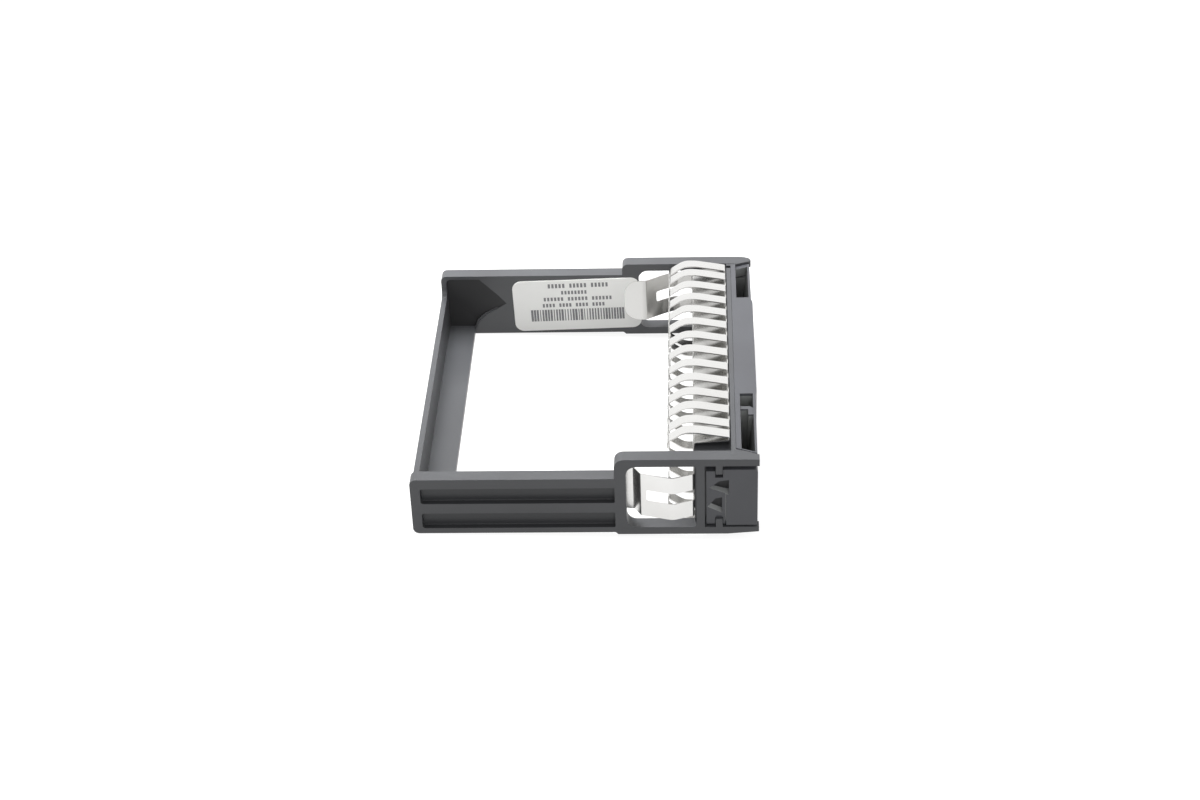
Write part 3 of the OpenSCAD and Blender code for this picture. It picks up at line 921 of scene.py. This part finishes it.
@dataclass
class ClippedBezel:
    """The bezel clipped to the frame's front, with its recesses and side tongues."""

    node: bpy.types.Object
    grain: Tree
    edge: float = 0.15 * MM
    dark: Color = (0.050, 0.051, 0.056, 1.0)
    pale: Color = (0.060, 0.062, 0.069, 1.0)
    front_wall: float = 0.9 * MM
    end_wall: float = 1.2 * MM
    foot: float = 1.0 * MM
    recess_width: float = 5.2 * MM
    recess_rim: float = 0.6 * MM
    recess_lean: Span = (-0.5, 1.0)
    # Painted light: the recess walls are coloured far paler than the plastic to stand for the light on
    # them.
    recess_painted_light: PaintedTone = PaintedTone((0.19, 0.197, 0.195, 1.0), 0.75)
    front_rim: float = 0.3 * MM
    front_lean: Span = (-1.0, -0.5)
    # Painted shade: the sloped front walls of the recesses are coloured darker.
    front_wall_painted_shade: PaintedTone = PaintedTone((0.022, 0.023, 0.023, 1.0), 0.5)
    ledge_drop: float = 4.0 * MM
    ledge_lean: Span = (0.5, 1.1)
    # Painted shade: the small ledges high in the recesses are coloured darker.
    ledge_painted_shade: PaintedTone = PaintedTone((0.022, 0.023, 0.023, 1.0), 0.6)
    tongue_start: float = 0.2 * MM
    tongue_face: float = 0.05 * MM
    tongue_inset: float = 2.6 * MM
    mark_run: float = 7.0 * MM
    mark_lean: Span = (-0.95, -0.1)
    # Painted shade: the finger marks' pockets are coloured near black.
    mark_painted_shade: PaintedTone = PaintedTone((0.010, 0.010, 0.011, 1.0), 0.7)
    flank_lean: Span = (0.2, 0.97)
    # Painted light: the marks' upward flanks are coloured pale to stand for the light on them.
    flank_painted_light: PaintedTone = PaintedTone((0.19, 0.195, 0.195, 1.0), 0.4)
    chamfer_lean: Span = (-0.9, -0.4)
    # Painted highlight: the chamfers beside the marks are coloured pale.
    chamfer_painted_highlight: PaintedTone = PaintedTone((0.21, 0.215, 0.215, 1.0), 0.4)

    def recess_zones(self, low: Vector, high: Vector) -> tuple[PaintedZone, ...]:
        """Gives the zones of painted light and painted shade in the recesses.

        Args:
            low: lowest corner of the bezel.
            high: highest corner of the bezel.

        Returns:
            The zones of painted light on the walls, of painted shade on the sloped front walls and of
            painted shade on the small ledges high up.
        """
        rear = high.x - self.recess_width
        near, far = low.y + self.end_wall, high.y - self.end_wall
        deepest = Vector((rear, near, low.z + self.foot))
        ledges = Vector((rear, near, high.z - self.ledge_drop))
        inner = Vector((high.x - self.front_wall, far, high.z - self.recess_rim))
        outer = Vector((high.x - self.front_rim, far, high.z - self.front_rim))
        return (
            PaintedZone(deepest, inner, self.recess_painted_light, self.recess_lean),
            PaintedZone(deepest, outer, self.front_wall_painted_shade, self.front_lean),
            PaintedZone(ledges, inner, self.ledge_painted_shade, self.ledge_lean, Axis.Z),
        )

    def tongue_zones(self, low: Vector, high: Vector) -> tuple[PaintedZone, ...]:
        """Gives the zones of painted shade and painted light round the finger marks on the side
        tongues.

        Args:
            low: lowest corner of the bezel.
            high: highest corner of the bezel.

        Returns:
            The zones of painted shade in the marks, of painted light on their flanks and of a painted
            highlight on the chamfers.
        """
        face, inset = self.tongue_face, self.tongue_inset
        start = Vector((low.x + self.tongue_start, low.y + face, low.z + inset))
        end = Vector((low.x + self.mark_run, high.y - face, high.z - inset))
        return (
            PaintedZone(start, end, self.mark_painted_shade, self.mark_lean, Axis.Z),
            PaintedZone(start, end, self.flank_painted_light, self.flank_lean, Axis.Z),
            PaintedZone(start, end, self.chamfer_painted_highlight, self.chamfer_lean),
        )

    def build(self) -> bpy.types.Object:
        """Makes the bezel with softened edges and its zones of painted light and shade.

        Returns:
            The bezel.
        """
        low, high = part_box("front_bezel")
        zones = self.recess_zones(low, high) + self.tongue_zones(low, high)
        bezel = merged_copy(self.node, "clipped_bezel")
        soften(bezel, self.edge)
        finish = MouldedPlastic("bezel_moulding", self.grain, zones, self.dark, self.pale).make()
        dress(bezel, finish, "front_bezel")
        return bezel


@dataclass
class SpringGasket:
    """The folded spring-finger gasket."""

    node: bpy.types.Object
    edge: float = 0.03 * MM

    def build(self) -> bpy.types.Object:
        """Makes the gasket with eased edges.

        Returns:
            The gasket.
        """
        low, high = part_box("spring_gasket")
        gasket = merged_copy(self.node, "finger_gasket")
        soften(gasket, self.edge, segments=1)
        finish = SpringSheet("rolled_spring_sheet", RolledLines().make(), low, high).make()
        dress(gasket, finish, "spring_gasket")
        return gasket


@dataclass
class BayLabel:
    """The label on the far rail."""

    node: bpy.types.Object
    edge: float = 0.03 * MM

    def build(self) -> bpy.types.Object:
        """Makes the label with eased edges.

        Returns:
            The label.
        """
        low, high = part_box("label")
        film = merged_copy(self.node, "label_film")
        soften(film, self.edge, segments=1)
        finish = LabelFilm("label_film", (low + high) / 2).make()
        dress(film, finish, "label")
        return film


# ---------------------------------------------------------------- camera, light, floor


def seen_directly(build: NodeBuilder) -> Socket:
    """Tells rays from the camera, a reflection or glass from rays that only gather light.

    Args:
        build: the builder of the tree that uses the test.

    Returns:
        1 for a ray that shows what it hits, 0 for the rest.
    """
    rays = build.add("ShaderNodeLightPath").outputs
    kinds = ("Is Camera Ray", "Is Glossy Ray", "Is Transmission Ray")
    return build.chain("MAXIMUM", *(rays[kind] for kind in kinds))


@dataclass(frozen=True)
class SoftBox:
    """A square soft lamp that points at the object."""

    name: str
    place: tuple[float, float, float]
    side: float
    watts: float

    def build(self) -> None:
        """Hangs the lamp."""
        data = bpy.data.lights.new(self.name, "AREA")
        data.shape = "SQUARE"
        data.size = self.side
        data.energy = self.watts
        place = Vector(self.place)
        lamp = bpy.data.objects.new(self.name, data)
        lamp.location = place
        lamp.rotation_euler = (-place).to_track_quat("-Z", "Y").to_euler()
        lamp.visible_camera = False
        lamp.visible_glossy = False
        bpy.context.scene.collection.objects.link(lamp)


@dataclass
class Studio:
    """Camera, soft lamps, the world and a plain pale floor."""

    eye: Vector = field(default_factory=lambda: Vector((21.77, -391.11, 274.72)) * MM)
    turn: Euler = field(
        default_factory=lambda: Euler([math.radians(angle) for angle in (55.671, 1.751, 1.729)])
    )
    lens: float = 69.36
    sensor: float = 36.0
    sight: Span = (0.01, 20.0)
    low_light: float = 0.05
    sky_light: float = 0.7
    sky_heights: Span = (-0.1, 0.9)
    gap_rise: float = 50.0
    gap_edges: Span = (0.84, 0.95)
    gap_light: float = 0.08
    rear_edge: Vector = field(default_factory=lambda: Vector((-33.3, 0.0, 2.0)) * MM)
    crest_edge: Vector = field(default_factory=lambda: Vector((20.4, 0.0, 0.0)) * MM)
    floor_drop: float = 0.02 * MM
    floor_size: float = 8.0
    floor_roughness: float = 0.9
    floor_bounce: float = 0.08
    floor_shade: float = 0.25
    floor_glow: float = 0.86
    floor_mirror: float = 0.82
    lamps: tuple[SoftBox, ...] = (
        SoftBox("top_soft_box", (-0.03, 0.058, 0.14), side=0.1, watts=0.7),
        SoftBox("front_soft_box", (0.1, -0.55, 0.22), side=0.4, watts=1.7),
        SoftBox("left_soft_box", (-0.5, -0.12, 0.2), side=0.35, watts=1.25),
        SoftBox("right_soft_box", (0.5, -0.12, 0.2), side=0.35, watts=0.8),
    )

    def build(self) -> None:
        """Makes the camera, the world, the floor and the lamps."""
        bpy.context.scene.view_settings.view_transform = "Standard"
        self.camera()
        self.world()
        self.floor()
        for lamp in self.lamps:
            lamp.build()

    def camera(self) -> None:
        """Sets the camera at its measured place."""
        data = bpy.data.cameras.new("camera")
        data.lens = self.lens
        data.sensor_width = self.sensor
        data.clip_start, data.clip_end = self.sight
        camera = bpy.data.objects.new("camera", data)
        camera.location = self.eye
        camera.rotation_euler = self.turn
        bpy.context.scene.collection.objects.link(camera)
        bpy.context.scene.camera = camera

    def world(self) -> None:
        """Lights from all round, most from above, and is white to the camera and in mirrors."""
        world = bpy.data.worlds.new("studio")
        bpy.context.scene.world = world
        world.use_nodes = True
        build = NodeBuilder(world.node_tree)
        direction = build.add("ShaderNodeTexCoord").outputs["Generated"]
        _, _, height = build.split(direction)
        soft = world.node_tree.nodes["Background"]
        soft.inputs["Color"].default_value = WHITE
        strength = build.ramp(height, *self.sky_heights, self.low_light, self.sky_light)
        build.feed(strength, soft.inputs["Strength"])
        shown = build.add("ShaderNodeBackground", Color=WHITE)
        build.feed(self.mirrored_sky(build, direction), shown.inputs["Strength"])
        mix = build.add("ShaderNodeMixShader")
        build.feed(seen_directly(build), mix.inputs["Fac"])
        build.feed(soft.outputs[0], mix.inputs[1])
        build.feed(shown.outputs[0], mix.inputs[2])
        build.feed(mix.outputs[0], world.node_tree.nodes["World Output"].inputs["Surface"])

    def mirrored_sky(self, build: NodeBuilder, direction: Socket) -> Socket:
        """Darkens one part of the white sky where it is mirrored, as a dim room would.

        Args:
            build: the world's builder.
            direction: the ray's direction.

        Returns:
            The sky's strength, 1 except in mirrored rays towards the dim part.
        """
        toward = build.add("ShaderNodeVectorMath", operation="DOT_PRODUCT")
        rise = math.radians(self.gap_rise)
        build.feed(direction, toward.inputs[0])
        toward.inputs[1].default_value = (0.0, -math.cos(rise), math.sin(rise))
        mirrored = build.add("ShaderNodeLightPath").outputs["Is Glossy Ray"]
        gap = build.math("MULTIPLY", build.ramp(toward.outputs["Value"], *self.gap_edges), mirrored)
        return build.ramp(gap, 0.0, 1.0, 1.0, self.gap_light)

    def floor_finish(self) -> bpy.types.Material:
        """Makes the floor's material.

        Returns:
            A material that looks white, keeps a shadow and throws little light back.
        """
        material = bpy.data.materials.new("pale_floor")
        material.use_nodes = True
        build = NodeBuilder(material.node_tree)
        inputs = material.node_tree.nodes["Principled BSDF"].inputs
        inputs["Roughness"].default_value = self.floor_roughness
        inputs["Specular IOR Level"].default_value = 0.0
        inputs["Emission Color"].default_value = WHITE
        rays = build.add("ShaderNodeLightPath").outputs
        in_view = rays["Is Camera Ray"]
        mirrored = build.math("MAXIMUM", rays["Is Glossy Ray"], rays["Is Transmission Ray"])
        shade = build.math("MULTIPLY", in_view, self.floor_shade - self.floor_bounce)
        build.feed(build.math("ADD", shade, self.floor_bounce), inputs["Base Color"])
        glow = build.math("MULTIPLY", in_view, self.floor_glow)
        glow = build.math("ADD", glow, build.math("MULTIPLY", mirrored, self.floor_mirror))
        build.feed(glow, inputs["Emission Strength"])
        return material

    def floor(self) -> None:
        """Lays a pale floor under the rear edge and the lowest finger crests."""
        run = self.crest_edge - self.rear_edge
        tilt = -math.atan2(run.z, run.x)
        centre = (self.crest_edge + self.rear_edge) / 2
        centre.z -= self.floor_drop
        bpy.ops.object.select_all(action="DESELECT")
        bpy.ops.mesh.primitive_plane_add(
            size=self.floor_size, location=centre, rotation=(0.0, tilt, 0.0)
        )
        floor = bpy.context.object
        floor.name = "floor"
        floor.data.materials.append(self.floor_finish())


def main() -> None:
    """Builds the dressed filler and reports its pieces."""
    logging.basicConfig(level=logging.INFO, format="%(name)s: %(message)s")
    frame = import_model()
    nodes = frame["nodes"]
    Studio().build()
    grain = MouldedGrain().make()
    parts = (
        OpenFrame(nodes["bay_frame"], grain),
        ClippedBezel(nodes["front_bezel"], grain),
        SpringGasket(nodes["spring_gasket"]),
        BayLabel(nodes["label"]),
    )
    for part in parts:
        piece = part.build()
        LOG.info("%s: %d faces", piece.name, len(piece.data.polygons))


if __name__ == "__main__":
    main()
